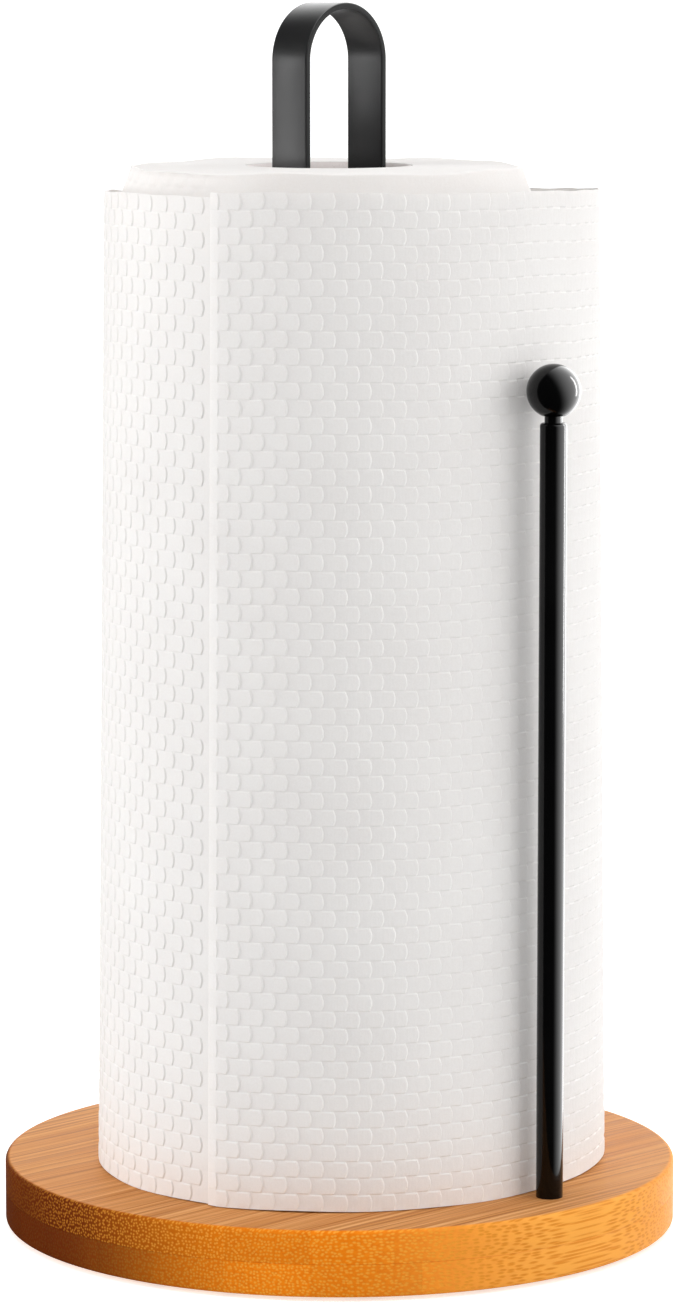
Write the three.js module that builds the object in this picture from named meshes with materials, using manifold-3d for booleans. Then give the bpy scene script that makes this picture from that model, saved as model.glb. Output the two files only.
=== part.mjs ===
// Paper towel holder: a laminated bamboo disc carries a bent flat-bar post and a round side rod with a
// ball finial. A roll of paper towels stands over the post, turns round it and lifts off over its top.
// Millimetres, +Z up. The origin is the centre of the disc's underside plane, on the table. The side rod
// stands in front, towards -Y, and the plane of the post's loop runs along X.

import * as THREE from 'three';
import { mergeVertices } from 'three/addons/utils/BufferGeometryUtils.js';
import Module from 'manifold-3d';

// ---------------------------------------------------------------- driving dimensions

// Base: two glued bamboo plies on four rubber feet
const BASE_RADIUS = 90;
const PLY_THICKNESS = 8.75;
const RIM_RADIUS = 1.25;
const FOOT_PROUD = 1;
const FOOT_RADIUS = 6.25;
const FOOT_HEIGHT = 2.5;
const FOOT_CIRCLE = 72;
const BASE_TOP = FOOT_PROUD + 2 * PLY_THICKNESS;

// Post: one flat steel bar bent into a tall loop, its ends turned in as feet
const POST_SET_BACK = 3.75;
const POST_HEIGHT = 307.75;
const POST_SPAN = 30.4;
const BAR_THICKNESS = 1.8;
const BAR_WIDTH = 12.7;
const BAR_EDGE = 0.3;
const FOOT_BEND_RADIUS = 2.2;
const FOOT_TIP = 1.75;
const POST_SCREW_SPACING = 13.5;

// Side rod and ball finial
const ROD_DISTANCE = 76;
const ROD_RADIUS = 3.5;
const ROD_HEIGHT = 202;
const ROD_SHOULDER = 0.9;
const NECK_RADIUS = 2.3;
const NECK_HEIGHT = 1.75;
const BALL_RADIUS = 7;
const BALL_FLAT_RADIUS = 3.05;

// M4 hardware
const SCREW_RADIUS = 2;
const SCREW_CLEARANCE = 0.3;
const SCREW_LENGTH = 20;
const HEAD_RADIUS = 4;
const HEAD_HEIGHT = 2.6;
const RECESS_LENGTH = 4.2;
const RECESS_WIDTH = 1;
const RECESS_DEPTH = 1.7;
const WASHER_RADIUS = 4.5;
const WASHER_THICKNESS = 0.75;
const NUT_ACROSS_FLATS = 7;
const NUT_HEIGHT = 3.2;
const COUNTERBORE_RADIUS = 5;
const COUNTERBORE_DEPTH = 5.5;
const ROD_BORE_DEPTH = 14;
const FINIAL_BORE_DEPTH = 8;

// Paper roll: cardboard core, tight winding, and the loose outer sheets of the same web
const ROLL_GAP = 0.3;
const CORE_BORE = 20.5;
const CORE_RADIUS = 21.7;
const CORE_LENGTH = 259;
const CORE_RISE = 4.6;
const WINDING_BORE = 22;
const WINDING_RADIUS = 56.3;
const WINDING_SHOULDER = 51.4;
const WINDING_STEP = 5.6;
const WINDING_SLOPE = 11.6;
const SHEET_WIDTH = 259;
const SHEET_RISE = 0.2;
const FIRST_SHEET_EXTRA = 1.3;
const SHEET_THICKNESS = 0.5;
const SHEET_PITCH = 0.8;
// Outer radius of the loose web against the angle from the rod's side: mean value, then the
// amounts of its once, twice and three times a turn waves
const WEB_WAVES = [66.98, 6.891, -1.98, -0.491];
// Free edge, the two perforations a 279 mm sheet apart, and where the web meets the winding (degrees)
const WEB_STOPS = [-74, 157.7, 399.3, 540];
const PERFORATION_GAP = 0.25;

// Facets round a full circle
const LARGE_FACETS = 72;
const SMALL_FACETS = 24;

// ---------------------------------------------------------------- materials

function finish(color, roughness, metalness) {
  return new THREE.MeshStandardMaterial({ color, roughness, metalness });
}

const bamboo = () => finish(0xd9a066, 0.5, 0);
const satinBlack = () => finish(0x2b2b2d, 0.45, 0.3);
const glossBlack = () => finish(0x070708, 0.12, 0.2);
const zincSteel = () => finish(0xb9bcc0, 0.35, 1);
const rubber = () => finish(0x1d1d1e, 0.85, 0);
const cardboard = () => finish(0xa98e6c, 0.9, 0);
const towelPaper = () => finish(0xf2efeb, 0.95, 0);

// ---------------------------------------------------------------- solids

const wasm = await Module();
wasm.setup();

// Shares the vertices of a closed shape and drops the facets that collapse on a lathe's axis
function closed(geometry) {
  geometry.deleteAttribute('normal');
  geometry.deleteAttribute('uv');
  const shared = mergeVertices(geometry, 1e-4);
  const corners = shared.index.array;
  const kept = [];
  for (let i = 0; i < corners.length; i += 3) {
    const [a, b, c] = corners.slice(i, i + 3);
    if (a !== b && b !== c && c !== a) {
      kept.push(a, b, c);
    }
  }
  shared.setIndex(kept);
  return shared;
}

function toManifold(geometry) {
  const shape = closed(geometry);
  return new wasm.Manifold(new wasm.Mesh({
    numProp: 3,
    vertProperties: new Float32Array(shape.attributes.position.array),
    triVerts: new Uint32Array(shape.index.array),
  }));
}

function cut(geometry, tools) {
  let solid = toManifold(geometry);
  for (const tool of tools) {
    solid = solid.subtract(toManifold(tool));
  }
  const mesh = solid.getMesh();
  const result = new THREE.BufferGeometry();
  result.setAttribute('position', new THREE.BufferAttribute(mesh.vertProperties, 3));
  result.setIndex(new THREE.BufferAttribute(mesh.triVerts, 1));
  return result;
}

// Revolves [radius, height] points round Z. The profile runs from the bottom to the top on its outside.
function turned(profile, facets) {
  const points = profile.map(([radius, height]) => new THREE.Vector2(radius, height));
  const lathe = new THREE.LatheGeometry(points, facets);
  lathe.rotateX(Math.PI / 2);
  return closed(lathe);
}

// Points of a circular arc in a profile, from one angle to another, in degrees
function arc(centreRadius, centreHeight, radius, from, to, steps) {
  const points = [];
  for (let i = 0; i <= steps; i++) {
    const angle = THREE.MathUtils.degToRad(from + ((to - from) * i) / steps);
    points.push([centreRadius + radius * Math.cos(angle), centreHeight + radius * Math.sin(angle)]);
  }
  return points;
}

// A round cutter standing on Z from one height to another
function drill(radius, from, to, x = 0, y = 0, facets = SMALL_FACETS) {
  const cylinder = new THREE.CylinderGeometry(radius, radius, to - from, facets);
  cylinder.rotateX(Math.PI / 2);
  cylinder.translate(x, y, (from + to) / 2);
  return cylinder;
}

function block(width, depth, height, x, y, z) {
  const box = new THREE.BoxGeometry(width, depth, height);
  box.translate(x, y, z);
  return box;
}

function part(name, geometry, material, x = 0, y = 0, z = 0) {
  const mesh = new THREE.Mesh(geometry, material);
  mesh.name = name;
  mesh.position.set(x, y, z);
  return mesh;
}

// ---------------------------------------------------------------- base

const postScrewX = POST_SCREW_SPACING / 2;
const screwPlaces = [
  [-postScrewX, POST_SET_BACK],
  [postScrewX, POST_SET_BACK],
  [0, -ROD_DISTANCE],
];

const footPlaces = [45, 135, 225, 315].map((degrees) => {
  const angle = THREE.MathUtils.degToRad(degrees);
  return [FOOT_CIRCLE * Math.cos(angle), FOOT_CIRCLE * Math.sin(angle)];
});

function screwHoles() {
  return screwPlaces.map(([x, y]) => drill(SCREW_RADIUS + SCREW_CLEARANCE, -1, PLY_THICKNESS + 1, x, y));
}

function upperPly() {
  const rim = arc(BASE_RADIUS - RIM_RADIUS, PLY_THICKNESS - RIM_RADIUS, RIM_RADIUS, 0, 90, 3);
  const disc = turned([[0, 0], [BASE_RADIUS, 0], ...rim, [0, PLY_THICKNESS]], LARGE_FACETS);
  return cut(disc, screwHoles());
}

function lowerPly() {
  const rim = arc(BASE_RADIUS - RIM_RADIUS, RIM_RADIUS, RIM_RADIUS, -90, 0, 3);
  const disc = turned([[0, 0], ...rim, [BASE_RADIUS, PLY_THICKNESS], [0, PLY_THICKNESS]], LARGE_FACETS);
  const counterbores = screwPlaces.map(([x, y]) => drill(COUNTERBORE_RADIUS, -1, COUNTERBORE_DEPTH, x, y));
  const footSeats = footPlaces.map(
    ([x, y]) => drill(FOOT_RADIUS + SCREW_CLEARANCE, -1, FOOT_HEIGHT - FOOT_PROUD, x, y),
  );
  return cut(disc, [...screwHoles(), ...counterbores, ...footSeats]);
}

function rubberFoot() {
  const chamfer = 0.5;
  return turned([
    [0, 0],
    [FOOT_RADIUS - chamfer, 0],
    [FOOT_RADIUS, chamfer],
    [FOOT_RADIUS, FOOT_HEIGHT],
    [0, FOOT_HEIGHT],
  ], SMALL_FACETS);
}

function baseGroup() {
  const base = new THREE.Group();
  base.add(part('base_lower_ply', lowerPly(), bamboo(), 0, 0, FOOT_PROUD));
  base.add(part('base_upper_ply', upperPly(), bamboo(), 0, 0, FOOT_PROUD + PLY_THICKNESS));
  footPlaces.forEach(([x, y], i) => {
    base.add(part(`rubber_foot_${i + 1}`, rubberFoot(), rubber(), x, y, 0));
  });
  return base;
}

// ---------------------------------------------------------------- fasteners

function panHeadScrew() {
  const head = arc(HEAD_RADIUS - 1, -HEAD_HEIGHT + 1, 1, -90, 0, 3);
  const body = turned([
    [0, -HEAD_HEIGHT],
    ...head,
    [HEAD_RADIUS, 0],
    [SCREW_RADIUS, 0],
    [SCREW_RADIUS, SCREW_LENGTH - 0.5],
    [SCREW_RADIUS - 0.5, SCREW_LENGTH],
    [0, SCREW_LENGTH],
  ], SMALL_FACETS);
  const recessMiddle = -HEAD_HEIGHT + RECESS_DEPTH / 2 - 1;
  const recessHeight = RECESS_DEPTH + 2;
  return cut(body, [
    block(RECESS_LENGTH, RECESS_WIDTH, recessHeight, 0, 0, recessMiddle),
    block(RECESS_WIDTH, RECESS_LENGTH, recessHeight, 0, 0, recessMiddle),
  ]);
}

function washer() {
  const bore = SCREW_RADIUS + SCREW_CLEARANCE;
  return turned([
    [bore, 0],
    [WASHER_RADIUS, 0],
    [WASHER_RADIUS, WASHER_THICKNESS],
    [bore, WASHER_THICKNESS],
    [bore, 0],
  ], SMALL_FACETS);
}

function weldNut() {
  const cornerRadius = NUT_ACROSS_FLATS / 2 / Math.cos(Math.PI / 6);
  const outline = new THREE.Shape();
  for (let i = 0; i < 6; i++) {
    const angle = Math.PI / 6 + (i * Math.PI) / 3;
    const corner = [cornerRadius * Math.cos(angle), cornerRadius * Math.sin(angle)];
    if (i === 0) {
      outline.moveTo(...corner);
    } else {
      outline.lineTo(...corner);
    }
  }
  outline.closePath();
  const bore = new THREE.Path();
  bore.absarc(0, 0, SCREW_RADIUS + SCREW_CLEARANCE, 0, Math.PI * 2, true);
  outline.holes.push(bore);
  return closed(new THREE.ExtrudeGeometry(outline, { depth: NUT_HEIGHT, bevelEnabled: false, curveSegments: 12 }));
}

function fastenerGroup(name, x, y) {
  const seat = FOOT_PROUD + COUNTERBORE_DEPTH;
  const fastener = new THREE.Group();
  fastener.position.set(x, y, seat);
  fastener.add(part(`${name}_washer`, washer(), zincSteel(), 0, 0, -WASHER_THICKNESS));
  fastener.add(part(`${name}_screw`, panHeadScrew(), zincSteel(), 0, 0, -WASHER_THICKNESS));
  return fastener;
}

// ---------------------------------------------------------------- post

// Side view of the bent bar: X across the loop, Y up. It starts at the right foot's tip, goes up the outside,
// over the arch and down to the left foot, and comes back along the inside.
function postOutline() {
  const outer = POST_SPAN / 2;
  const inner = outer - BAR_THICKNESS;
  const archHeight = POST_HEIGHT - outer;
  const bendOuter = FOOT_BEND_RADIUS + BAR_THICKNESS;
  const bendX = outer - bendOuter;
  const outline = new THREE.Shape();
  outline.moveTo(FOOT_TIP, 0);
  outline.lineTo(bendX, 0);
  outline.absarc(bendX, bendOuter, bendOuter, -Math.PI / 2, 0, false);
  outline.lineTo(outer, archHeight);
  outline.absarc(0, archHeight, outer, 0, Math.PI, false);
  outline.lineTo(-outer, bendOuter);
  outline.absarc(-bendX, bendOuter, bendOuter, Math.PI, Math.PI * 1.5, false);
  outline.lineTo(-FOOT_TIP, 0);
  outline.lineTo(-FOOT_TIP, BAR_THICKNESS);
  outline.lineTo(-bendX, BAR_THICKNESS);
  outline.absarc(-bendX, bendOuter, FOOT_BEND_RADIUS, Math.PI * 1.5, Math.PI, true);
  outline.lineTo(-inner, archHeight);
  outline.absarc(0, archHeight, inner, Math.PI, 0, true);
  outline.lineTo(inner, bendOuter);
  outline.absarc(bendX, bendOuter, FOOT_BEND_RADIUS, 0, -Math.PI / 2, true);
  outline.lineTo(FOOT_TIP, BAR_THICKNESS);
  outline.closePath();
  return outline;
}

function postLoop() {
  const bar = new THREE.ExtrudeGeometry(postOutline(), {
    depth: BAR_WIDTH - 2 * BAR_EDGE,
    bevelEnabled: true,
    bevelThickness: BAR_EDGE,
    bevelSize: BAR_EDGE,
    bevelOffset: -BAR_EDGE,
    bevelSegments: 1,
    curveSegments: 14,
  });
  bar.translate(0, 0, BAR_EDGE - BAR_WIDTH / 2);
  bar.rotateX(Math.PI / 2);
  return cut(bar, [-postScrewX, postScrewX].map(
    (x) => drill(SCREW_RADIUS + SCREW_CLEARANCE, -1, BAR_THICKNESS + 1, x, 0),
  ));
}

function postGroup() {
  const post = new THREE.Group();
  post.position.set(0, POST_SET_BACK, BASE_TOP);
  post.add(part('post_loop', postLoop(), satinBlack()));
  post.add(part('post_weld_nut_left', weldNut(), zincSteel(), -postScrewX, 0, BAR_THICKNESS));
  post.add(part('post_weld_nut_right', weldNut(), zincSteel(), postScrewX, 0, BAR_THICKNESS));
  return post;
}

// ---------------------------------------------------------------- side rod and finial

function sideRod() {
  const bore = SCREW_RADIUS + SCREW_CLEARANCE;
  const shoulder = arc(
    ROD_RADIUS - ROD_SHOULDER,
    ROD_HEIGHT - ROD_SHOULDER,
    ROD_SHOULDER,
    0,
    90,
    3,
  );
  return turned([
    [0, ROD_BORE_DEPTH],
    [bore, ROD_BORE_DEPTH],
    [bore, 0],
    [ROD_RADIUS, 0],
    ...shoulder,
    [bore, ROD_HEIGHT],
    [bore, ROD_HEIGHT - FINIAL_BORE_DEPTH],
    [0, ROD_HEIGHT - FINIAL_BORE_DEPTH],
  ], SMALL_FACETS);
}

// Threaded stud with a round collar, which shows as the neck between the rod and the ball
function finialStud() {
  const reach = FINIAL_BORE_DEPTH - 1;
  return turned([
    [0, -reach],
    [SCREW_RADIUS, -reach],
    [SCREW_RADIUS, 0],
    [NECK_RADIUS + 0.2, 0],
    [NECK_RADIUS, 0.4],
    [NECK_RADIUS, NECK_HEIGHT],
    [SCREW_RADIUS, NECK_HEIGHT],
    [SCREW_RADIUS, NECK_HEIGHT + reach],
    [0, NECK_HEIGHT + reach],
  ], SMALL_FACETS);
}

// The ball's underside is faced flat round its tapped hole, and its centre is the local origin
function ballFinial() {
  const bore = SCREW_RADIUS + SCREW_CLEARANCE;
  const flatHeight = -Math.sqrt(BALL_RADIUS ** 2 - BALL_FLAT_RADIUS ** 2);
  const flatAngle = THREE.MathUtils.radToDeg(Math.asin(flatHeight / BALL_RADIUS));
  const skin = arc(0, 0, BALL_RADIUS, flatAngle, 90, 14);
  skin[skin.length - 1][0] = 0;
  return turned([
    [0, flatHeight + FINIAL_BORE_DEPTH],
    [bore, flatHeight + FINIAL_BORE_DEPTH],
    [bore, flatHeight],
    ...skin,
  ], SMALL_FACETS);
}

function rodGroup() {
  const rod = new THREE.Group();
  rod.position.set(0, -ROD_DISTANCE, BASE_TOP);
  const ballCentre = ROD_HEIGHT + NECK_HEIGHT + Math.sqrt(BALL_RADIUS ** 2 - BALL_FLAT_RADIUS ** 2);
  rod.add(part('side_rod', sideRod(), glossBlack()));
  rod.add(part('finial_stud', finialStud(), glossBlack(), 0, 0, ROD_HEIGHT));
  rod.add(part('ball_finial', ballFinial(), glossBlack(), 0, 0, ballCentre));
  return rod;
}

// ---------------------------------------------------------------- paper roll

function rollCore() {
  return turned([
    [CORE_BORE, 0],
    [CORE_RADIUS, 0],
    [CORE_RADIUS, CORE_LENGTH],
    [CORE_BORE, CORE_LENGTH],
    [CORE_BORE, 0],
  ], LARGE_FACETS);
}

// The tight turns. The inner ones are pushed up by WINDING_STEP, so the top slopes down to the outer ones.
function tightWinding() {
  const bottom = SHEET_RISE;
  const top = SHEET_RISE + SHEET_WIDTH;
  return turned([
    [WINDING_BORE, bottom + WINDING_STEP],
    [WINDING_SHOULDER, bottom + WINDING_STEP],
    [WINDING_RADIUS, bottom],
    [WINDING_RADIUS, top + WINDING_STEP - WINDING_SLOPE],
    [WINDING_SHOULDER, top + WINDING_STEP],
    [WINDING_BORE, top + WINDING_STEP],
    [WINDING_BORE, bottom + WINDING_STEP],
  ], LARGE_FACETS);
}

// Outer radius of the loose web at an angle from the rod's side, counted on through its turns
function webRadius(degrees) {
  const angle = THREE.MathUtils.degToRad(degrees);
  const turns = (degrees - WEB_STOPS[0]) / 360;
  const waves = WEB_WAVES.reduce((sum, size, order) => sum + size * Math.cos(order * angle), 0);
  return waves - SHEET_PITCH * turns;
}

function webPoint(degrees, inset) {
  const angle = THREE.MathUtils.degToRad(degrees);
  const radius = webRadius(degrees) - inset;
  return new THREE.Vector2(radius * Math.sin(angle), -radius * Math.cos(angle));
}

// One sheet of the loose web, between two of its edges
function looseSheet(from, to, height) {
  const steps = Math.round((to - from) / 5);
  const outside = [];
  const inside = [];
  for (let i = 0; i <= steps; i++) {
    const degrees = from + ((to - from) * i) / steps;
    outside.push(webPoint(degrees, 0));
    inside.unshift(webPoint(degrees, SHEET_THICKNESS));
  }
  const outline = new THREE.Shape([...outside, ...inside]);
  return closed(new THREE.ExtrudeGeometry(outline, { depth: height, bevelEnabled: false }));
}

function rollGroup() {
  const roll = new THREE.Group();
  roll.position.set(0, POST_SET_BACK, BASE_TOP + ROLL_GAP);
  roll.add(part('roll_core', rollCore(), cardboard(), 0, 0, CORE_RISE));
  roll.add(part('paper_winding', tightWinding(), towelPaper()));
  ['paper_sheet_first', 'paper_sheet_second', 'paper_sheet_third'].forEach((name, i) => {
    const from = WEB_STOPS[i];
    const to = WEB_STOPS[i + 1] - PERFORATION_GAP;
    const height = SHEET_WIDTH + (i === 0 ? FIRST_SHEET_EXTRA : 0);
    roll.add(part(name, looseSheet(from, to, height), towelPaper(), 0, 0, SHEET_RISE));
  });
  return roll;
}

// ---------------------------------------------------------------- assembly

const holder = new THREE.Group();
holder.add(baseGroup());
holder.add(postGroup());
holder.add(rodGroup());
['post_left', 'post_right', 'rod'].forEach((name, i) => {
  holder.add(fastenerGroup(name, ...screwPlaces[i]));
});
holder.add(rollGroup());

export default holder;
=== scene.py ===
import math

import bmesh
import bpy
import numpy as np
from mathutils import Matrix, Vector


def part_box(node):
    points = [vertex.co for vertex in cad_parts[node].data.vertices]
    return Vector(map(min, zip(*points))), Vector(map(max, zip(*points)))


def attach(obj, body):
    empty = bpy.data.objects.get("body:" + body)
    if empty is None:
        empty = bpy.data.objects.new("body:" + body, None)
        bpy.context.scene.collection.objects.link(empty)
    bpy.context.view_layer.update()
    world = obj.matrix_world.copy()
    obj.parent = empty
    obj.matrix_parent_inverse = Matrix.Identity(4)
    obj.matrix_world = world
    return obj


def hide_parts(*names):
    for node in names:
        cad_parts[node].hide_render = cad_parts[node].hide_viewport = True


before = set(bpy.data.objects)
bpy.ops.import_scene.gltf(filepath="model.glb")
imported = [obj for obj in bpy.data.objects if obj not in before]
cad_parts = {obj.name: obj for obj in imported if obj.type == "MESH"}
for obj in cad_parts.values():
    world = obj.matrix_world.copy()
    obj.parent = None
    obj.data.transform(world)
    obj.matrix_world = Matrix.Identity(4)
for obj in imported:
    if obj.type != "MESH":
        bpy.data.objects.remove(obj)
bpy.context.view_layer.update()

MM = 0.001

# ---------------------------------------------------------------- places taken from the frame


def centre_of(node):
    low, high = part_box(node)
    return (low + high) / 2


def radius_of(node):
    low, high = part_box(node)
    return (high.x - low.x) / 2


post_low, post_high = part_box("post_loop")
roll_axis = Vector((centre_of("paper_winding").x, centre_of("paper_winding").y, 0))
base_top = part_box("base_upper_ply")[1].z

# ---------------------------------------------------------------- modelling by hand


def nothing_selected():
    if bpy.context.object and bpy.context.object.mode != "OBJECT":
        bpy.ops.object.mode_set(mode="OBJECT")
    bpy.ops.object.select_all(action="DESELECT")


def work_on(piece):
    nothing_selected()
    piece.select_set(True)
    bpy.context.view_layer.objects.active = piece


def named(name):
    piece = bpy.context.object
    piece.name = name
    piece.data.name = name
    return piece


def in_edit_mode(piece, select_mode="FACE"):
    work_on(piece)
    bpy.ops.object.mode_set(mode="EDIT")
    bpy.ops.mesh.select_mode(type=select_mode)
    bpy.ops.mesh.select_all(action="DESELECT")


def pick(piece, kind, test):
    """Selects the faces, edges or verts of a piece in edit mode whose middle and normal pass the test."""
    shape = bmesh.from_edit_mesh(piece.data)
    shape.normal_update()
    for item in getattr(shape, kind):
        if kind == "faces":
            chosen = test(item.calc_center_median(), item.normal)
        elif kind == "edges":
            chosen = test(*(corner.co for corner in item.verts))
        else:
            chosen = test(item.co)
        item.select_set(bool(chosen))
    shape.select_flush_mode()
    bmesh.update_edit_mesh(piece.data)


def shaped_by(piece, kind, **settings):
    """Adds a modifier and applies it at once."""
    work_on(piece)
    modifier = piece.modifiers.new(kind.lower(), kind)
    for name, value in settings.items():
        setattr(modifier, name, value)
    bpy.ops.object.modifier_apply(modifier=modifier.name)


def cut_out(piece, cutters):
    for cutter in cutters:
        shaped_by(piece, "BOOLEAN", operation="DIFFERENCE", object=cutter, solver="EXACT")
        bpy.data.objects.remove(cutter)


def rounded_ends(piece, low, high, offset, segments):
    """Bevels the flat ring edges of an upright round piece at the given heights."""

    def is_end(a, b):
        return abs(a.z - b.z) < 1e-6 and (abs(a.z - low) < 1e-6 or abs(a.z - high) < 1e-6)

    in_edit_mode(piece, "EDGE")
    pick(piece, "edges", is_end)
    bpy.ops.mesh.bevel(offset=offset, segments=segments, affect="EDGES")
    bpy.ops.object.mode_set(mode="OBJECT")


def settled(piece, smooth_angle=35):
    """Puts the place of a piece into its mesh, points its faces outwards and smooths its round stretches."""
    work_on(piece)
    bpy.ops.object.transform_apply(location=True, rotation=True, scale=True)
    bpy.ops.object.mode_set(mode="EDIT")
    bpy.ops.mesh.select_all(action="SELECT")
    bpy.ops.mesh.remove_doubles(threshold=1e-7)
    bpy.ops.mesh.normals_make_consistent(inside=False)
    bpy.ops.object.mode_set(mode="OBJECT")
    bpy.ops.object.shade_smooth_by_angle(angle=math.radians(smooth_angle))
    return piece


def finished(piece, material, body, slot, *nodes):
    piece.data.materials.clear()
    piece.data.materials.append(material)
    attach(piece, body)
    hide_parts(*nodes)
    return piece


def mesh_piece(name, corners, faces):
    """A piece from computed corners, where the surface follows a formula."""
    mesh = bpy.data.meshes.new(name)
    mesh.from_pydata(corners.tolist(), [], faces)
    piece = bpy.data.objects.new(name, mesh)
    bpy.context.scene.collection.objects.link(piece)
    return piece


# ---------------------------------------------------------------- finishes


def finish(name, **shader_values):
    material = bpy.data.materials.new(name)
    material.use_nodes = True
    shader = material.node_tree.nodes["Principled BSDF"]
    for socket, value in shader_values.items():
        shader.inputs[socket.replace("_", " ")].default_value = value
    return material, shader


def node(material, kind, inputs=None, **settings):
    made = material.node_tree.nodes.new("ShaderNode" + kind)
    for name, value in settings.items():
        setattr(made, name, value)
    for socket, value in (inputs or {}).items():
        if isinstance(value, bpy.types.NodeSocket):
            material.node_tree.links.new(value, made.inputs[socket])
        else:
            made.inputs[socket].default_value = value
    return made


def object_place(material):
    return node(material, "TexCoord").outputs["Object"]


def maths(material, operation, first, second=0.0):
    return node(material, "Math", {0: first, 1: second}, operation=operation).outputs[0]


def between(material, value, low, high, new_low=0.0, new_high=1.0):
    """Maps a value smoothly from one range to another."""
    made = node(
        material,
        "MapRange",
        {"Value": value, "From Min": low, "From Max": high, "To Min": new_low, "To Max": new_high},
        interpolation_type="SMOOTHSTEP",
    )
    return made.outputs["Result"]


def noise(material, vector, scale, detail=2.0, roughness=0.5):
    made = node(
        material, "TexNoise", {"Vector": vector, "Scale": scale, "Detail": detail, "Roughness": roughness}
    )
    return made.outputs["Fac"]


def stretched(material, vector, scale):
    return node(material, "Mapping", {"Vector": vector, "Scale": scale}).outputs["Vector"]


def ramp(material, value, *stops):
    made = node(material, "ValToRGB", {"Fac": value})
    elements = made.color_ramp.elements
    while len(elements) < len(stops):
        elements.new(0.5)
    for element, (place, colour) in zip(elements, stops):
        element.position = place
        element.color = (*colour, 1)
    return made.outputs["Color"]


def mixed(material, share, first, second, blend_type="MIX"):
    made = node(material, "Mix", data_type="RGBA", blend_type=blend_type)
    for index, value in ((0, share), (6, first), (7, second)):
        if isinstance(value, bpy.types.NodeSocket):
            material.node_tree.links.new(value, made.inputs[index])
        else:
            made.inputs[index].default_value = value if index == 0 else (*value, 1)
    return made.outputs[2]


def bumped(material, height, distance, strength=1.0, below=None):
    inputs = {"Height": height, "Distance": distance, "Strength": strength}
    if below is not None:
        inputs["Normal"] = below
    return node(material, "Bump", inputs).outputs["Normal"]


def wire(material, shader, **sockets):
    for name, value in sockets.items():
        material.node_tree.links.new(value, shader.inputs[name.replace("_", " ")])


STRIP_WIDTH = 19 * MM
# Direction towards the rim's shaded side: the bamboo finish paints shade on the rim there and paints light on
# the rim opposite
SHADED_SIDE = (-0.696, 0.718, 0)


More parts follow.
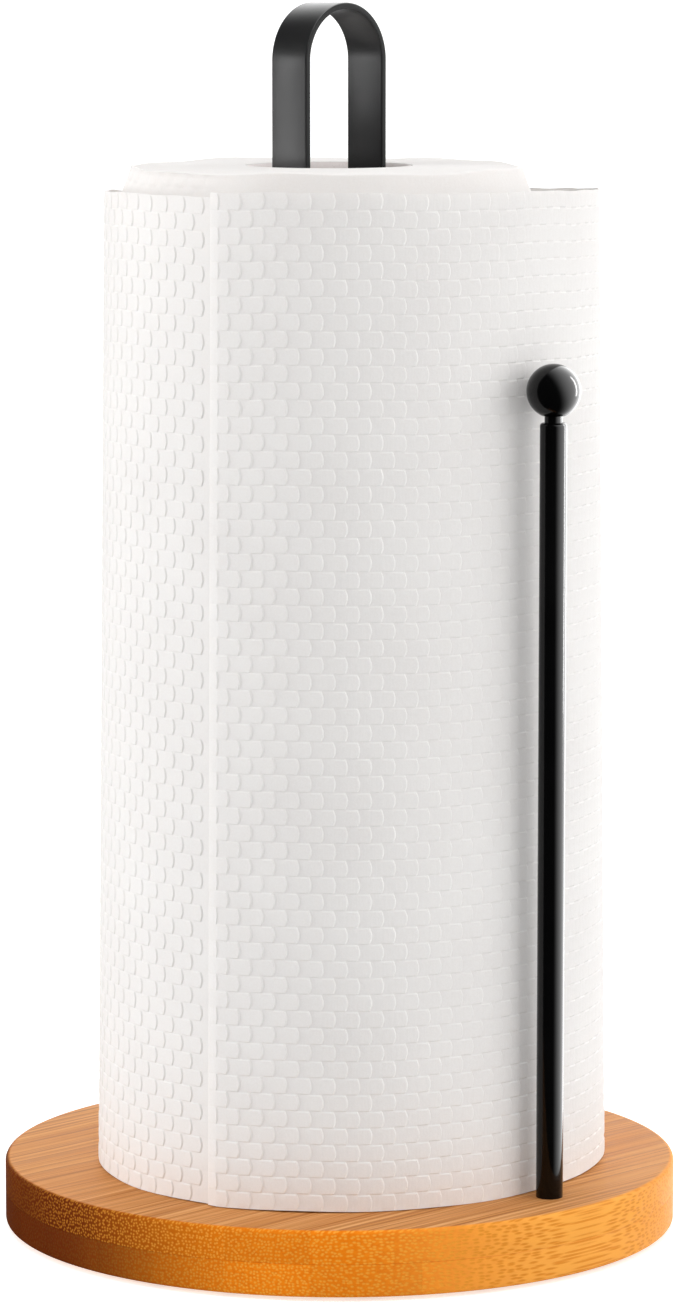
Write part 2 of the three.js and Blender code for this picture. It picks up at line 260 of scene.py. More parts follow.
def bamboo_finish():
    """Laminated bamboo: long fibre bundles run along X, so they show as dots on the ends of the strips."""
    material, shader = finish("bamboo_oiled", Specular_IOR_Level=0.03)
    glue_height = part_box("base_lower_ply")[1].z
    place = object_place(material)
    axes = node(material, "SeparateXYZ", {"Vector": place})
    wander = noise(material, stretched(material, place, (9, 30, 30)), 1.0, 2.0)
    shift = node(material, "CombineXYZ", {"Y": maths(material, "MULTIPLY", wander, 0.006)}).outputs[0]
    fibre_place = node(material, "VectorMath", {0: place, 1: shift}, operation="ADD").outputs[0]

    across = node(material, "SeparateXYZ", {"Vector": fibre_place})
    section = node(material, "CombineXYZ", {"X": across.outputs["Y"], "Y": across.outputs["Z"]}).outputs[0]
    bundles = node(
        material, "TexVoronoi", {"Vector": section, "Scale": 1120, "Randomness": 0.75}, voronoi_dimensions="2D"
    ).outputs["Distance"]
    dots = between(material, bundles, 0.12, 0.5, 1.0, 0.0)
    streaks = noise(material, stretched(material, fibre_place, (8, 760, 760)), 1.0, 4.0, 0.7)
    bands = noise(material, stretched(material, fibre_place, (2.2, 70, 70)), 1.0, 2.0)
    strip = maths(material, "FLOOR", maths(material, "MULTIPLY", axes.outputs["Y"], 1 / STRIP_WIDTH))
    lower_ply = maths(material, "LESS_THAN", axes.outputs["Z"], glue_height)
    strip_id = node(material, "CombineXYZ", {"X": strip, "Y": lower_ply}).outputs[0]
    strip_tone = node(material, "TexWhiteNoise", {"Vector": strip_id}, noise_dimensions="3D").outputs["Value"]

    top = ramp(
        material, streaks, (0.36, (0.29, 0.10, 0.024)), (0.5, (0.56, 0.245, 0.078)), (0.64, (0.75, 0.41, 0.175))
    )
    top = mixed(material, maths(material, "MULTIPLY", bands, 0.4), top, (0.66, 0.30, 0.105))
    top = mixed(material, maths(material, "MULTIPLY", dots, 0.15), top, (0.82, 0.47, 0.22))
    rim = ramp(material, streaks, (0.3, (0.86, 0.20, 0.004)), (0.7, (0.98, 0.28, 0.010)))
    side = node(material, "VectorMath", {0: place, 1: SHADED_SIDE}, operation="DOT_PRODUCT").outputs["Value"]
    # Painted light: towards the lit side the rim is painted paler and its bundles show dark, while towards the
    # shaded side they show light, as the light falls
    rim = mixed(material, between(material, side, -0.06, 0.0, 0.62, 0.0), rim, (1.0, 0.54, 0.12))
    lit_side_share = between(material, side, -0.05, -0.01, 1.0, 0.0)
    rim_dots = mixed(material, lit_side_share, (1.0, 0.45, 0.058), (0.70, 0.23, 0.018))
    rim = mixed(material, maths(material, "MULTIPLY", dots, 0.75), rim, rim_dots)
    # Painted shade darkens the rim towards the far edge of its lit side
    rim = mixed(material, between(material, side, -0.09, -0.068, 0.4, 0.0), rim, (0.60, 0.20, 0.02))
    reach = node(material, "VectorMath", {0: place, 1: (1, 1, 0)}, operation="MULTIPLY").outputs[0]
    reach = node(material, "VectorMath", {0: reach}, operation="LENGTH").outputs["Value"]
    rim_radius = radius_of("base_upper_ply")
    on_rim = between(material, reach, rim_radius - 1.4 * MM, rim_radius - 0.4 * MM)
    wood = mixed(material, on_rim, top, rim)
    wood = mixed(material, maths(material, "MULTIPLY", strip_tone, 0.3), wood, (0.42, 0.12, 0.01))

    # Painted shade: the rim's shaded side is painted dark, most of all on the lower ply and between the bundles
    painted_shade = maths(material, "MULTIPLY", between(material, side, 0.012, 0.075), on_rim)
    shade_spared = maths(material, "MULTIPLY", dots, between(material, side, 0.07, 0.085, 0.36, 0.08))
    shade_spared = maths(material, "MULTIPLY", shade_spared, maths(material, "SUBTRACT", 1.0, lower_ply))
    painted_shade = maths(material, "MULTIPLY", painted_shade, maths(material, "SUBTRACT", 0.95, shade_spared))
    painted_shade = mixed(material, painted_shade, (1.0, 0.98, 0.95), (0.095, 0.036, 0.008))
    wood = mixed(material, 1.0, wood, painted_shade, "MULTIPLY")
    wire(material, shader, Base_Color=wood, Roughness=between(material, streaks, 0.2, 0.8, 0.46, 0.64))
    wire(material, shader, Normal=bumped(material, maths(material, "SUBTRACT", streaks, dots), 0.00012, 0.6))
    return material


def satin_black_finish():
    """Fine-grained black powder coat, with painted shade inside the loop: darker and less glossy below the
    arch. The bar's two narrow sides are sheared matt.
    """
    material, shader = finish("powder_coat_black")
    place = object_place(material)
    grain = noise(material, place, 2600, 2.0)
    cloud = noise(material, place, 60, 3.0)
    colour = ramp(material, cloud, (0.3, (0.012, 0.012, 0.0125)), (0.7, (0.019, 0.019, 0.0195)))
    axes = node(material, "SeparateXYZ", {"Vector": place}).outputs
    aside = maths(material, "ABSOLUTE", maths(material, "SUBTRACT", axes["Y"], (post_low.y + post_high.y) / 2))
    half_width = (post_high.y - post_low.y) / 2
    sheared = between(material, aside, half_width - 0.12 * MM, half_width - 0.04 * MM)
    colour = mixed(material, sheared, colour, (0.010, 0.010, 0.010))
    # Painted shade: inside the loop and going down from the arch, the coat is painted darker with less gleam,
    # where the roll's core shades it
    arch_height = post_high.z - post_high.x
    inside = maths(material, "ABSOLUTE", axes["X"])
    inside = between(material, inside, post_high.x - 1.2 * MM, post_high.x - 0.6 * MM, 1.0, 0.0)
    below_arch = between(material, axes["Z"], arch_height - 22 * MM, arch_height + 4 * MM, 1.0, 0.0)
    inner_painted_shade = maths(material, "MULTIPLY", inside, below_arch)
    colour = mixed(material, maths(material, "MULTIPLY", inner_painted_shade, 0.5), colour, (0.006, 0.006, 0.006))
    polish = between(material, cloud, 0.2, 0.8, 0.33, 0.42)
    polish = maths(material, "MAXIMUM", polish, maths(material, "MULTIPLY", sheared, 0.75))
    gleam = maths(material, "MULTIPLY", maths(material, "MAXIMUM", sheared, inner_painted_shade), 0.4)
    gleam = maths(material, "SUBTRACT", 0.5, gleam)
    wire(material, shader, Base_Color=colour, Roughness=polish, Specular_IOR_Level=gleam)
    wire(material, shader, Normal=bumped(material, grain, 0.00004, 0.5))
    return material


def gloss_black_finish():
    """Black lacquer over polished steel, with a trace of orange peel."""
    material, shader = finish("lacquer_black", Specular_IOR_Level=0.15, Coat_Weight=0.14, Coat_Roughness=0.03)
    place = object_place(material)
    cloud = noise(material, place, 45, 2.0)
    peel = noise(material, place, 420, 1.0)
    colour = ramp(material, cloud, (0.3, (0.0016, 0.0016, 0.0017)), (0.7, (0.003, 0.003, 0.0032)))
    wire(material, shader, Base_Color=colour, Roughness=between(material, cloud, 0.2, 0.8, 0.14, 0.22))
    wire(material, shader, Normal=bumped(material, peel, 0.00003, 0.25))
    return material


def towel_paper_finish():
    """Soft creped tissue: short fibres and a faint crosswise creping."""
    material, shader = finish(
        "towel_paper_white", Subsurface_Weight=0.12, Subsurface_Scale=0.002, Sheen_Weight=0.15, Roughness=0.95
    )
    shader.inputs["Subsurface Radius"].default_value = (1.0, 0.85, 0.75)
    place = object_place(material)
    fibres = noise(material, place, 1900, 4.0, 0.7)
    crepe = noise(material, stretched(material, place, (900, 900, 160)), 1.0, 2.0)
    cloud = noise(material, place, 38, 3.0)
    colour = ramp(material, cloud, (0.25, (0.828, 0.798, 0.778)), (0.75, (0.870, 0.845, 0.824)))
    colour = mixed(material, between(material, fibres, 0.35, 0.7, 0.0, 0.35), colour, (0.90, 0.885, 0.872))
    wire(material, shader, Base_Color=colour)
    fine = bumped(material, fibres, 0.00008, 0.5)
    wire(material, shader, Normal=bumped(material, crepe, 0.00012, 0.5, fine))
    return material


def cardboard_finish():
    """Pale core board with flecks."""
    material, shader = finish("core_board", Roughness=0.9)
    place = object_place(material)
    fibres = noise(material, stretched(material, place, (700, 700, 1400)), 1.0, 4.0, 0.65)
    flecks = between(material, noise(material, place, 1500, 1.0), 0.66, 0.74)
    colour = ramp(material, fibres, (0.3, (0.89, 0.82, 0.80)), (0.7, (0.94, 0.88, 0.86)))
    colour = mixed(material, maths(material, "MULTIPLY", flecks, 0.25), colour, (0.62, 0.53, 0.48))
    wire(material, shader, Base_Color=colour, Normal=bumped(material, fibres, 0.0001, 0.5))
    return material


def rubber_finish():
    """Matt black rubber with a moulded grain."""
    material, shader = finish("foot_rubber", Roughness=0.82, Specular_IOR_Level=0.35)
    place = object_place(material)
    grain = noise(material, place, 1400, 3.0)
    colour = ramp(material, grain, (0.3, (0.012, 0.012, 0.012)), (0.7, (0.026, 0.026, 0.025)))
    wire(material, shader, Base_Color=colour, Normal=bumped(material, grain, 0.00008, 0.5))
    return material


def zinc_steel_finish():
    """Bright zinc plate with fine turning marks."""
    material, shader = finish("zinc_plate", Metallic=1.0)
    place = object_place(material)
    spangle = noise(material, place, 700, 3.0)
    marks = noise(material, stretched(material, place, (400, 400, 6000)), 1.0, 2.0)
    colour = ramp(material, spangle, (0.3, (0.54, 0.55, 0.57)), (0.7, (0.70, 0.70, 0.69)))
    wire(material, shader, Base_Color=colour, Roughness=between(material, spangle, 0.2, 0.8, 0.26, 0.40))
    wire(material, shader, Normal=bumped(material, marks, 0.00003, 0.4))
    return material


bamboo = bamboo_finish()
powder_coat = satin_black_finish()
lacquer = gloss_black_finish()
towel_paper = towel_paper_finish()
core_board = cardboard_finish()
foot_rubber = rubber_finish()
zinc_plate = zinc_steel_finish()

# ---------------------------------------------------------------- base: two bamboo plies

RIM_ROUNDING = 1.25 * MM
GLUE_LINE = 0.14 * MM
SCREW_HOLE = 2.3 * MM
COUNTERBORE = (5.0 * MM, 5.5 * MM)
FOOT_SEAT = (6.55 * MM, 1.5 * MM)

screw_nodes = ["post_left_screw", "post_right_screw", "rod_screw"]
foot_nodes = [f"rubber_foot_{i}" for i in (1, 2, 3, 4)]


def drill(at, radius, low, high):
    """A round cutter standing at a place, from one height to another."""
    nothing_selected()
    bpy.ops.mesh.primitive_cylinder_add(
        vertices=48, radius=radius, depth=high - low, location=(at.x, at.y, (low + high) / 2)
    )
    return bpy.context.object


def base_ply(node_name, round_edge, glued_edge):
    """A turned disc with one rounded edge and one edge broken lightly beside the glue line."""
    low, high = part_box(node_name)
    nothing_selected()
    bpy.ops.mesh.primitive_cylinder_add(
        vertices=256, radius=radius_of(node_name), depth=high.z - low.z, location=(0, 0, (low.z + high.z) / 2)
    )
    piece = named(f"{node_name}_turned")
    bpy.ops.object.transform_apply(location=True)
    edges = {"low": low.z, "high": high.z}
    rounded_ends(piece, edges[round_edge], edges[round_edge], RIM_ROUNDING, 6)
    rounded_ends(piece, edges[glued_edge], edges[glued_edge], GLUE_LINE, 2)
    holes = [drill(centre_of(n), SCREW_HOLE, low.z - MM, high.z + MM) for n in screw_nodes]
    if round_edge == "low":
        radius, depth = COUNTERBORE
        holes += [drill(centre_of(n), radius, low.z - MM, low.z + depth) for n in screw_nodes]
        radius, depth = FOOT_SEAT
        holes += [drill(centre_of(n), radius, low.z - MM, low.z + depth) for n in foot_nodes]
    cut_out(piece, holes)
    settled(piece, 40)
    return finished(piece, bamboo, "holder", "bamboo", node_name)


base_ply("base_upper_ply", "high", "low")
base_ply("base_lower_ply", "low", "high")


def rubber_foot(node_name):
    """A moulded foot: rounded edge, and a shallow dish in its sole."""
    low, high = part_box(node_name)
    middle = centre_of(node_name)
    nothing_selected()
    bpy.ops.mesh.primitive_cylinder_add(
        vertices=64, radius=radius_of(node_name), depth=high.z - low.z, location=middle
    )
    piece = named(f"{node_name}_moulded")
    bpy.ops.object.transform_apply(location=True)
    rounded_ends(piece, low.z, low.z, 0.6 * MM, 4)
    in_edit_mode(piece)
    pick(piece, "faces", lambda at, normal: normal.z < -0.999)
    bpy.ops.mesh.inset(thickness=2.2 * MM)
    bpy.ops.mesh.inset(thickness=0.5 * MM)
    bpy.ops.transform.translate(value=(0, 0, 0.5 * MM))
    settled(piece)
    return finished(piece, foot_rubber, "holder", "rubber", node_name)


for foot_node in foot_nodes:
    rubber_foot(foot_node)

# ---------------------------------------------------------------- post: one flat bar bent into a loop

BAR_THICKNESS = 1.8 * MM
BAR_CORNER = 0.42 * MM
FOOT_BEND = 2.2 * MM
FOOT_TIP = 1.75 * MM
NUT_HOLES = ["post_weld_nut_left", "post_weld_nut_right"]


def post_loop():
    """The bar's section is drawn at one foot's tip, then extruded and spun round each bend."""
    half_span = post_high.x
    half_width = (post_high.y - post_low.y) / 2
    middle_y = (post_low.y + post_high.y) / 2
    ground = post_low.z
    bend_middle = half_span - FOOT_BEND - BAR_THICKNESS
    bend_height = ground + FOOT_BEND + BAR_THICKNESS
    arch_height = post_high.z - half_span
    nothing_selected()
    bpy.ops.mesh.primitive_plane_add(
        size=1, location=(FOOT_TIP, middle_y, ground + BAR_THICKNESS / 2), rotation=(0, math.pi / 2, 0)
    )
    piece = named("post_bent_bar")
    piece.scale = (BAR_THICKNESS, 2 * half_width, 1)
    bpy.ops.object.transform_apply(location=True, rotation=True, scale=True)
    in_edit_mode(piece, "VERT")
    bpy.ops.mesh.select_all(action="SELECT")
    bpy.ops.mesh.bevel(offset=BAR_CORNER, segments=4, affect="VERTICES")
    bpy.ops.mesh.select_mode(type="FACE")
    bpy.ops.mesh.select_all(action="SELECT")

    def pushed(x, z):
        bpy.ops.mesh.extrude_region_move(TRANSFORM_OT_translate={"value": (x, 0, z)})

    def bent(angle, x, z, steps):
        bpy.ops.mesh.spin(steps=steps, angle=angle, center=(x, middle_y, z), axis=(0, 1, 0))

    leg = arch_height - bend_height
    foot = bend_middle - FOOT_TIP
    pushed(foot, 0)
    bent(math.pi / 2, bend_middle, bend_height, 10)
    pushed(0, leg)
    bent(math.pi, 0, arch_height, 72)
    pushed(0, -leg)
    bent(math.pi / 2, -bend_middle, bend_height, 10)
    pushed(foot, 0)
    bpy.ops.object.mode_set(mode="OBJECT")
    settled(piece, 30)
    through = (ground - MM, ground + 2 * BAR_THICKNESS)
    cut_out(piece, [drill(centre_of(n), SCREW_HOLE, *through) for n in NUT_HOLES])
    settled(piece, 30)
    return finished(piece, powder_coat, "holder", "satin_black", "post_loop")


post_loop()

# ---------------------------------------------------------------- side rod, neck and ball

ROD_SHOULDER = 0.9 * MM
ROD_BORE = (2.3 * MM, 14 * MM, 8 * MM)


def side_rod():
    low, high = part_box("side_rod")
    middle = centre_of("side_rod")
    nothing_selected()
    bpy.ops.mesh.primitive_cylinder_add(
        vertices=96, radius=radius_of("side_rod"), depth=high.z - low.z, location=middle
    )
    piece = named("side_rod_turned")
    bpy.ops.object.transform_apply(location=True)
    rounded_ends(piece, high.z, high.z, ROD_SHOULDER, 6)
    rounded_ends(piece, low.z, low.z, 0.2 * MM, 2)
    bore, screw_depth, stud_depth = ROD_BORE
    cut_out(piece, [
        drill(middle, bore, low.z - MM, low.z + screw_depth),
        drill(middle, bore, high.z - stud_depth, high.z + MM),
    ])
    settled(piece)
    return finished(piece, lacquer, "holder", "gloss_black", "side_rod")


def finial_neck():
    """The stud that joins rod and ball; its collar shows between them."""
    low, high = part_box("finial_stud")
    rod_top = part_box("side_rod")[1].z
    middle = centre_of("finial_stud")
    nothing_selected()
    bpy.ops.mesh.primitive_cylinder_add(vertices=64, radius=2 * MM, depth=high.z - low.z, location=middle)
    piece = named("finial_neck_turned")
    bpy.ops.object.transform_apply(location=True)
    in_edit_mode(piece)
    for height in (rod_top, rod_top + 0.4 * MM, rod_top + 1.75 * MM):
        bpy.ops.mesh.select_all(action="SELECT")
        bpy.ops.mesh.bisect(plane_co=(0, 0, height), plane_no=(0, 0, 1))
    pick(piece, "faces", lambda at, normal: abs(normal.z) < 0.5 and rod_top < at.z < rod_top + 1.75 * MM)
    bpy.ops.mesh.extrude_region_shrink_fatten(TRANSFORM_OT_shrink_fatten={"value": 0.32 * MM})
    bpy.ops.object.mode_set(mode="OBJECT")
    settled(piece)
    return finished(piece, lacquer, "holder", "gloss_black", "finial_stud")


def ball_finial():
    low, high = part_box("ball_finial")
    radius = radius_of("ball_finial")
    middle = Vector((centre_of("ball_finial").x, centre_of("ball_finial").y, high.z - radius))
    nothing_selected()
    bpy.ops.mesh.primitive_uv_sphere_add(segments=96, ring_count=64, radius=radius, location=middle)
    piece = named("ball_finial_turned")
    bpy.ops.object.transform_apply(location=True)
    in_edit_mode(piece)
    bpy.ops.mesh.select_all(action="SELECT")
    bpy.ops.mesh.bisect(plane_co=(0, 0, low.z), plane_no=(0, 0, 1), clear_inner=True, use_fill=True)
    pick(piece, "faces", lambda at, normal: normal.z < -0.99 and at.z < low.z + 1e-5)
    bpy.ops.mesh.inset(thickness=0.75 * MM)
    bpy.ops.mesh.extrude_region_move(TRANSFORM_OT_translate={"value": (0, 0, 8 * MM)})
    bpy.ops.object.mode_set(mode="OBJECT")
    settled(piece, 40)
    return finished(piece, lacquer, "holder", "gloss_black", "ball_finial")


side_rod()
finial_neck()
ball_finial()

# ---------------------------------------------------------------- fasteners keep their turned shapes

for cad_node in [
    "post_left_screw", "post_right_screw", "rod_screw", "post_left_washer", "post_right_washer", "rod_washer",
    "post_weld_nut_left", "post_weld_nut_right",
]:
    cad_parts[cad_node].data.materials.clear()
    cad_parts[cad_node].data.materials.append(zinc_plate)

# ---------------------------------------------------------------- embossing of the paper

BUMP_LENGTH = 6.1 * MM
BUMP_ROW = 4.3 * MM
BUMP_DEPTH = 0.31 * MM
BUMP_SCALLOP = 0.11
# Places across one bump, from its left end, and how far each stands out: a gentle rise and a steep right end
ACROSS = [0.0, 0.05, 0.44, 0.5, 0.55, 0.94]
ACROSS_RISE = [0.0, 0.08, 0.5, 0.57, 0.64, 1.0]
UP = [0.0, 0.08, 0.36, 0.64, 0.92]
UP_RISE = [0.3, 0.88, 1.0, 1.0, 0.88]


def bump_rise(column, row):
    """How far the paper stands out, from 0 in a groove to 1, at a column and row of the fine grid."""
    columns, rows = len(ACROSS), len(UP)
    half = columns // 2
    even = np.array(ACROSS_RISE)[column % columns]
    odd = np.array(ACROSS_RISE)[(column + half) % columns]
    across = np.where((row // rows) % 2 == 0, even, odd)
    across = np.where(row % rows == 0, (even + odd) / 2, across)
    return across * np.array(UP_RISE)[row % rows]


def fine_steps(count, places, pitch):
    """Distances of the fine grid's lines, with the same uneven steps in each bump."""
    return np.array([(i // len(places) + places[i % len(places)]) * pitch for i in range(count)])


def scallop(height):
    """Sideways shift of the grid that bows the end of each bump outwards."""
    share = np.mod(height / BUMP_ROW, 1.0)
    return -BUMP_SCALLOP * BUMP_LENGTH * (2 * share - 1) ** 2


# ---------------------------------------------------------------- paper roll: the loose outer sheets

WEB_WAVES = [66.98 * MM, 6.891 * MM, -1.98 * MM, -0.491 * MM]
WEB_STOPS = [-74.0, 157.7, 399.3, 540.0]
WEB_DIPS = [(188, 2.1), (74, 1.0)]
LAYER_PITCH = 0.8 * MM
PAPER_THICKNESS = 0.5 * MM
ROLL_FOOT = base_top + 0.05 * MM
SHEET_WIDTH = 260 * MM
LOOSE_AT_FOOT = 1.5 * MM
LOOSE_AT_TOP = -1.5 * MM
LOOSE_ASIDE = np.array([0.63, -0.65, 0]) * MM
FREE_EDGE = -72.2


def web_radius(degrees):
    """Radius of the loose web's outside against the angle from the rod's side, counted on through its turns."""
    turn = np.radians(degrees)
    waves = sum(size * np.cos(order * turn) for order, size in enumerate(WEB_WAVES))
    return waves - LAYER_PITCH * (degrees - WEB_STOPS[0]) / 360


def web_top(degrees):
    """Height of the web's upper edge: it sags away from the front and steps down with each turn."""
    turn = np.radians(degrees)
    ripple = 0.16 * np.sin(7 * turn + 1.0) + 0.11 * np.sin(17 * turn) + 0.07 * np.sin(31 * turn + 2.0)
    sag = 1.3 * np.cos(turn + math.radians(48)) + 0.15 * np.cos(turn - math.radians(224))
    for place, dip in WEB_DIPS:
        sag = sag - dip * np.maximum(np.cos(turn - math.radians(place)), 0) ** 8
    return (278.3 + sag + ripple - 1.3 * (degrees - WEB_STOPS[0]) / 360) * MM


def web_foot(degrees):
    turn = np.radians(degrees)
    return ROLL_FOOT + (0.2 + 0.12 * np.sin(5 * turn) + 0.08 * np.sin(13 * turn + 1.0)) * MM


def slack(height):
    """The loose web stands a little wider at its foot than at its top."""
    share = (height - ROLL_FOOT) / SHEET_WIDTH
    return LOOSE_AT_FOOT + (LOOSE_AT_TOP - LOOSE_AT_FOOT) * share


def on_roll(degrees, radius, height):
    turn = np.radians(degrees)
    return np.stack([roll_axis.x + radius * np.sin(turn), roll_axis.y - radius * np.cos(turn), height], axis=-1)


def lifted_edge(along):
    """Behind its free edge, which dips to the layer beneath, the sheet stands off a little."""
    along = np.maximum(along, 0)
    return 1.6 * MM * (np.exp(-along / (9 * MM)) - np.exp(-along / (1.8 * MM)))


def loose_sheet(name, stops, free_edge):
    """One embossed sheet of the web: a thin closed solid, with a fine grid outside and a coarser one inside."""
    sample = np.linspace(*stops, 2000)
    points = on_roll(sample, web_radius(sample), 0 * sample)
    along = np.concatenate([[0], np.cumsum(np.linalg.norm(np.diff(points, axis=0), axis=1))])
    cells = int(along[-1] / BUMP_LENGTH)
    columns = cells * len(ACROSS) + 1
    rows = int(SHEET_WIDTH / BUMP_ROW) * len(UP) + 1
    spare = along[-1] - fine_steps(columns, ACROSS, BUMP_LENGTH)[-1]
    distance = fine_steps(columns, ACROSS, BUMP_LENGTH) * (1 + spare / (along[-1] - spare))
    level = fine_steps(rows, UP, BUMP_ROW)
    column, row = np.meshgrid(np.arange(columns), np.arange(rows))
    flat = level[row]
    inner_share = np.minimum(column, columns - 1 - column) / len(ACROSS)
    shift = scallop(flat) * np.clip(inner_share, 0, 1)
    degrees = np.interp(distance[column] + shift, along, sample)
    share = flat / level[-1]
    height = web_foot(degrees) * (1 - share) + web_top(degrees) * share
    outside = web_radius(degrees) + slack(height)
    if free_edge:
        outside = outside + lifted_edge(distance[column])
    edge_fade = np.clip(np.minimum(row, rows - 1 - row) / 2, 0, 1)
    smooth_border = 1 - np.clip((inner_share - 0.1) / 0.25, 0, 1)
    under_edge = 1 - np.clip((np.abs(degrees - FREE_EDGE - 360) - 0.8) / 1.0, 0, 1)
    rise = np.maximum(bump_rise(column, row), np.maximum(smooth_border, under_edge))
    skin = on_roll(degrees, outside - BUMP_DEPTH * (1 - rise) * (0.4 + 0.6 * edge_fade), height)

    pick_columns = np.arange(0, columns, len(ACROSS) // 2)
    pick_rows = np.arange(0, rows, len(UP))
    lining = on_roll(degrees, outside - PAPER_THICKNESS, height)[np.ix_(pick_rows, pick_columns)]

    corners = np.concatenate([skin.reshape(-1, 3), lining.reshape(-1, 3)]) + LOOSE_ASIDE
    index = np.arange(rows * columns).reshape(rows, columns)
    back = rows * columns + np.arange(len(pick_rows) * len(pick_columns)).reshape(len(pick_rows), -1)
    faces = grid_faces(index) + [face[::-1] for face in grid_faces(back)]
    column_step, row_step = len(ACROSS) // 2, len(UP)
    for side, line, fine, step in (
        (1, back[0], index[0], column_step),
        (-1, back[-1], index[-1], column_step),
        (-1, back[:, 0], index[:, 0], row_step),
        (1, back[:, -1], index[:, -1], row_step),
    ):
        for i in range(len(line) - 1):
            face = [int(line[i]), int(line[i + 1]), *(int(v) for v in fine[i * step:(i + 1) * step + 1][::-1])]
            faces.append(face[::side])
    piece = mesh_piece(name, corners, faces)
    work_on(piece)
    bpy.ops.object.shade_smooth_by_angle(angle=math.radians(15))
    return piece


def grid_faces(index):
    """Four-sided faces between the lines of a grid of corner numbers."""
    a, b, c, d = index[:-1, :-1], index[:-1, 1:], index[1:, 1:], index[1:, :-1]
    return np.stack([a, b, c, d], axis=-1).reshape(-1, 4).tolist()


sheet_nodes = ["paper_sheet_first", "paper_sheet_second", "paper_sheet_third"]
for i, sheet_node in enumerate(sheet_nodes):
    stops = (WEB_STOPS[i] if i else FREE_EDGE, WEB_STOPS[i + 1] - 0.25)
    paper = loose_sheet(f"{sheet_node}_embossed", stops, i == 0)
    finished(paper, towel_paper, "paper_roll", "towel_paper", sheet_node)

# ---------------------------------------------------------------- paper roll: the tight winding

WINDING_BORE = 22.1 * MM
WINDING_RINGS = 76
WINDING_SLOPE = 11.6 * MM
WINDING_BUMPS_ROUND = 56
WINDING_OUT = 55.8 * MM
WINDING_TOP_OUT = 51.7 * MM
WINDING_LEAN = 0.7 * MM
WINDING_LEAN_TO = 224.0
LAYER_EDGE = 0.1 * MM


def tight_winding():
    """Hundreds of tight turns: their edges make the fine rings of the top, and the outer turns step down."""
    low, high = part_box("paper_winding")
    columns = WINDING_BUMPS_ROUND * len(ACROSS)
    degrees = np.arange(columns) * 360.0 / columns
    profile = []
    for i in range(WINDING_RINGS + 1):
        share = i / WINDING_RINGS
        jag = LAYER_EDGE * (1 if i % 2 else -1)
        radius = WINDING_BORE + (WINDING_TOP_OUT - WINDING_BORE) * share
        profile.append((radius, high.z + jag - 0.3 * MM * share ** 6, 0))
    slope_rows = 3 * len(UP)
    slope_high = high.z - 0.4 * MM
    slope_low = high.z - WINDING_SLOPE
    for i in range(1, slope_rows + 1):
        share = (i // len(UP) + UP[i % len(UP)]) / 3
        profile.append((
            WINDING_TOP_OUT + (WINDING_OUT - WINDING_TOP_OUT) * share ** 1.1,
            slope_high - (slope_high - slope_low) * share,
            i,
        ))
    profile += [(WINDING_OUT + 1.0 * MM, low.z + 6 * MM, 0), (WINDING_OUT + 0.6 * MM, low.z, 0)]
    profile += [(WINDING_BORE + 29 * MM, low.z + 4.8 * MM, 0), (WINDING_BORE, low.z + 5.2 * MM, 0)]

    radius = np.array([p[0] for p in profile])[:, None]
    height = np.array([p[1] for p in profile])[:, None]
    row = np.array([p[2] for p in profile])[:, None]
    column = np.arange(columns)[None, :]
    bumps = (row > 0) * BUMP_DEPTH * (1 - bump_rise(column, np.broadcast_to(row, (len(profile), columns))))
    bumps = bumps * np.clip((np.cos(np.radians(degrees - WINDING_LEAN_TO)) - 0.4) / 0.3, 0, 1)[None, :]
    lean = WINDING_LEAN * np.cos(np.radians(degrees - WINDING_LEAN_TO))[None, :]
    lean = lean * np.clip((radius - 30 * MM) / (20 * MM), 0, 1)
    ripple = 0.25 * np.sin(np.radians(5 * degrees)) + 0.18 * np.sin(np.radians(11 * degrees + 40))
    ripple = ripple[None, :] * MM
    ripple = ripple * np.clip((radius - 26 * MM) / (26 * MM), 0, 1) * (height > (low.z + high.z) / 2)
    corners = on_roll(
        np.broadcast_to(degrees[None, :], (len(profile), columns)),
        radius + lean - bumps,
        height + ripple,
    )
    index = np.arange(len(profile) * columns).reshape(len(profile), columns)
    index = np.concatenate([index, index[:, :1]], axis=1)
    index = np.concatenate([index, index[:1]], axis=0)
    piece = mesh_piece("paper_winding_layers", corners.reshape(-1, 3), grid_faces(index))
    settled(piece, 60)
    return finished(piece, towel_paper, "paper_roll", "towel_paper", "paper_winding")


tight_winding()

# ---------------------------------------------------------------- paper roll: the cardboard core


CORE_WALL = 1.2 * MM
CORE_LAY = (190.0, 80 * MM)
CORE_SEAMS = [10, 50, 90]


def cardboard_core():
    """A spiral-wound tube with a slightly opened mouth. The grid's lines follow the lay of the board."""
    low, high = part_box("roll_core")
    high.z += 1.0 * MM
    outer = radius_of("roll_core")
    inner = outer - CORE_WALL
    columns, levels = 120, 60
    lay_angle, lay_length = CORE_LAY
    profile = []
    for i in range(levels + 1):
        profile.append((outer, low.z + (high.z - low.z) * i / levels))
    profile.append((outer - 0.25 * MM, high.z))
    inner_top = high.z - 1.8 * MM
    for i in range(levels + 1):
        profile.append((inner, inner_top - (inner_top - low.z) * i / levels))
    radius = np.array([p[0] for p in profile])[:, None]
    height = np.array([p[1] for p in profile])[:, None]
    degrees = np.arange(columns)[None, :] * 360.0 / columns + lay_angle * (height - low.z) / lay_length
    seam = np.isin(np.arange(columns), CORE_SEAMS)[None, :]
    depth = np.where(radius > inner + 0.5 * MM, -0.2 * MM, 0.2 * MM) * seam
    corners = on_roll(degrees, radius + depth, np.broadcast_to(height, degrees.shape))
    index = np.arange(len(profile) * columns).reshape(len(profile), columns)
    index = np.concatenate([index, index[:, :1]], axis=1)
    index = np.concatenate([index, index[:1]], axis=0)
    piece = mesh_piece("roll_core_wound", corners.reshape(-1, 3), grid_faces(index))
    settled(piece, 50)
    return finished(piece, core_board, "roll_core", "cardboard", "roll_core")


cardboard_core()

# ---------------------------------------------------------------- floor, light and camera

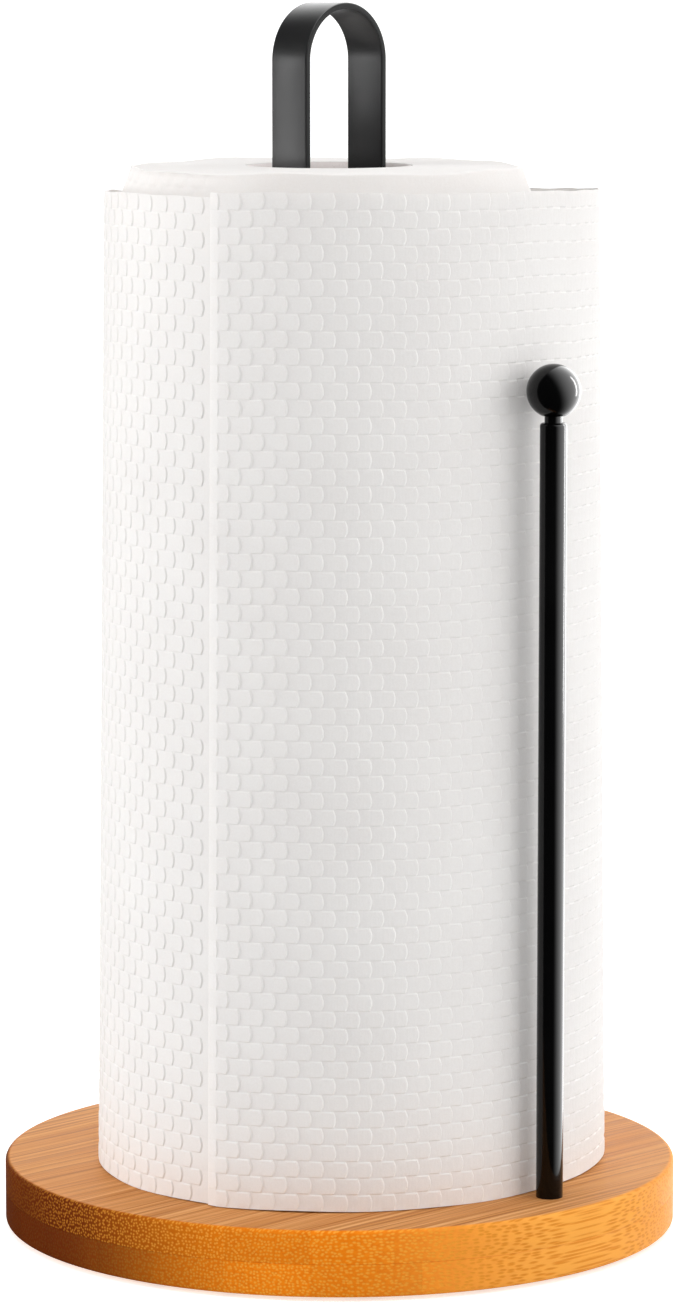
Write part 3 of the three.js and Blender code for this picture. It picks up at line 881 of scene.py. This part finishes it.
nothing_selected()
bpy.ops.mesh.primitive_plane_add(size=80, location=(0, 0, 0))
floor = named("studio_floor")
floor_paint, floor_shader = finish("floor_paint", Roughness=0.9, Specular_IOR_Level=0.1)
floor_shader.inputs["Base Color"].default_value = (0.9, 0.9, 0.9, 1)
floor_shader.inputs["Emission Color"].default_value = (1, 1, 1, 1)
floor_shader.inputs["Emission Strength"].default_value = 0.55
floor.data.materials.append(floor_paint)
floor.visible_glossy = False
floor.visible_diffuse = False

VIEW_TURN = math.radians(-45.9)
VIEW_TILT = math.radians(7.706)
VIEW_DISTANCE = 1.4
VIEW_HEIGHT = 0.344

camera_data = bpy.data.cameras.new("studio_camera")
camera_data.sensor_width = 36
camera_data.lens = 146.54
camera_data.clip_start = 0.05
camera = bpy.data.objects.new("studio_camera", camera_data)
camera.location = (VIEW_DISTANCE * math.sin(VIEW_TURN), -VIEW_DISTANCE * math.cos(VIEW_TURN), VIEW_HEIGHT)
camera.rotation_euler = (math.pi / 2 - VIEW_TILT, 0, VIEW_TURN)
bpy.context.scene.collection.objects.link(camera)
bpy.context.scene.camera = camera


def softbox(name, turn, distance, height, width, tall, power, mirrored=False):
    """A soft light facing the middle of the roll. Its turn counts from the camera's side towards the right."""
    azimuth = VIEW_TURN + math.radians(turn)
    light_data = bpy.data.lights.new(name, "AREA")
    light_data.shape = "RECTANGLE"
    light_data.size, light_data.size_y = width, tall
    light_data.energy = power
    light = bpy.data.objects.new(name, light_data)
    light.location = (distance * math.sin(azimuth), -distance * math.cos(azimuth), height)
    aim = Vector((0, 0, 0.15)) - light.location
    light.rotation_euler = aim.to_track_quat("-Z", "Y").to_euler()
    bpy.context.scene.collection.objects.link(light)
    light.visible_glossy = mirrored
    light.visible_diffuse = not mirrored


softbox("light_right", 70, 1.6, 0.6, 1.4, 1.3, 8.8)
softbox("light_left", -84, 1.5, 0.35, 0.7, 1.0, 12)
softbox("light_above", 10, 0.5, 1.8, 1.3, 1.3, 5)
softbox("light_edge", 108, 1.4, 0.5, 0.18, 1.3, 24, mirrored=True)
softbox("light_low_left", -88, 1.4, 0.27, 0.5, 0.2, 3, mirrored=True)

WHITE_WALL = 1.0
FILL_LIGHT = 0.76
MIRRORED_DARK = 0.02
MIRRORED_BRIGHT = 7.0

world = bpy.data.worlds.new("studio_white")
bpy.context.scene.world = world
world.use_nodes = True
background = world.node_tree.nodes["Background"]
background.inputs["Color"].default_value = (1, 1, 1, 1)
rays = world.node_tree.nodes.new("ShaderNodeLightPath")


def world_level(value, if_low, if_high, low=0.0, high=1.0):
    """A strength that goes from one level to another as a value goes from low to high."""
    level = world.node_tree.nodes.new("ShaderNodeMapRange")
    level.interpolation_type = "SMOOTHSTEP"
    world.node_tree.links.new(value, level.inputs["Value"])
    for socket, given in (("From Min", low), ("From Max", high), ("To Min", if_low), ("To Max", if_high)):
        if isinstance(given, float):
            level.inputs[socket].default_value = given
        else:
            world.node_tree.links.new(given, level.inputs[socket])
    return level.outputs["Result"]


# Polished things mirror a dark room that brightens towards its right wall
towards_wall = VIEW_TURN + math.radians(112)
facing_wall = world.node_tree.nodes.new("ShaderNodeVectorMath")
facing_wall.operation = "DOT_PRODUCT"
sky_place = world.node_tree.nodes.new("ShaderNodeTexCoord")
world.node_tree.links.new(sky_place.outputs["Generated"], facing_wall.inputs[0])
facing_wall.inputs[1].default_value = (0.94 * math.sin(towards_wall), -0.94 * math.cos(towards_wall), 0.34)
mirrored_room = world_level(facing_wall.outputs["Value"], MIRRORED_DARK, MIRRORED_BRIGHT, -0.15, 1.0)
lit = world_level(rays.outputs["Is Glossy Ray"], FILL_LIGHT, mirrored_room)
lit = world_level(rays.outputs["Is Camera Ray"], lit, WHITE_WALL)
world.node_tree.links.new(lit, background.inputs["Strength"])
bpy.context.scene.view_settings.view_transform = "Standard"
